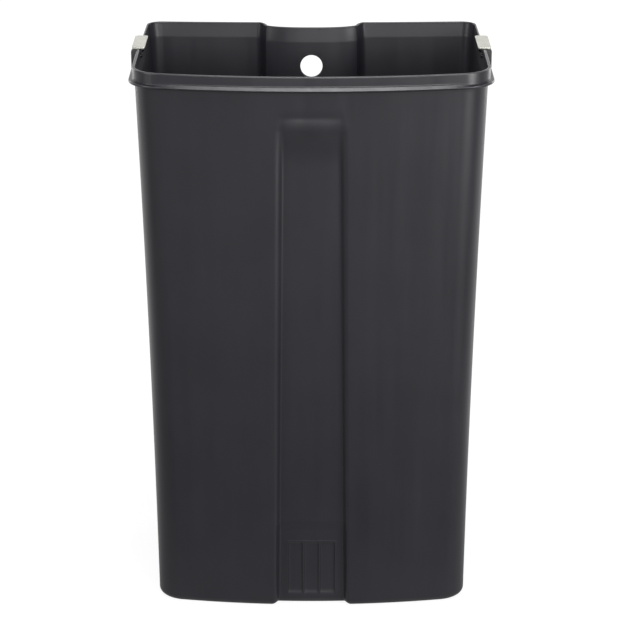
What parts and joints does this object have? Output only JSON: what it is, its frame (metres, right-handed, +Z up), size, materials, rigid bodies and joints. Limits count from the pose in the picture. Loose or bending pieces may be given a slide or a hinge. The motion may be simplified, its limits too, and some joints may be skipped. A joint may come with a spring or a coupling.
{
  "type": "bin inner bucket",
  "caption": "Tall rectangular moulded inner bucket of a litter bin, with a stepped rim, front and back channels, and sprung bag clips hinged at the sides.",
  "frame": {"origin": "bottom centre of the bounding box, on the ground under the bucket", "axes": "+Z up, -Y towards the bowed front with the narrow channel, +X towards the right side as seen from the front"},
  "size_m": [0.375, 0.2586, 0.5919],
  "materials": {
    "bucket_plastic": "semi-gloss moulded charcoal",
    "bracket_plastic": "moulded black",
    "clip_metal": "satin, pale",
    "pin_steel": "plain",
    "spring_steel": "plain wire",
    "screw_steel": "plain"
  },
  "bodies": {
    "bucket": {"bucket": "bucket_plastic", "left_clip_bracket": "bracket_plastic", "right_clip_bracket": "bracket_plastic", "left_hinge_pin": "pin_steel", "right_hinge_pin": "pin_steel", "left_clip_spring": "spring_steel", "right_clip_spring": "spring_steel", "left_bracket_screws": "screw_steel", "right_bracket_screws": "screw_steel"},
    "left_clip": {"left_bag_clip": "clip_metal"},
    "right_clip": {"right_bag_clip": "clip_metal"}
  },
  "joints": [
    {"name": "left_clip_hinge", "type": "hinge", "parent": "bucket", "child": "left_clip", "pos_m": [-0.1846, 0.024, 0.5871], "axis": [0, -1, 0], "range_deg": [0, 90], "stiffness_Nm_per_rad": 0.02, "springref_deg": -57.3, "deforming": ["left_clip_spring"]},
    {"name": "right_clip_hinge", "type": "hinge", "parent": "bucket", "child": "right_clip", "pos_m": [0.1846, 0.024, 0.5871], "axis": [0, 1, 0], "range_deg": [0, 90], "stiffness_Nm_per_rad": 0.02, "springref_deg": -57.3, "deforming": ["right_clip_spring"]}
  ]
}
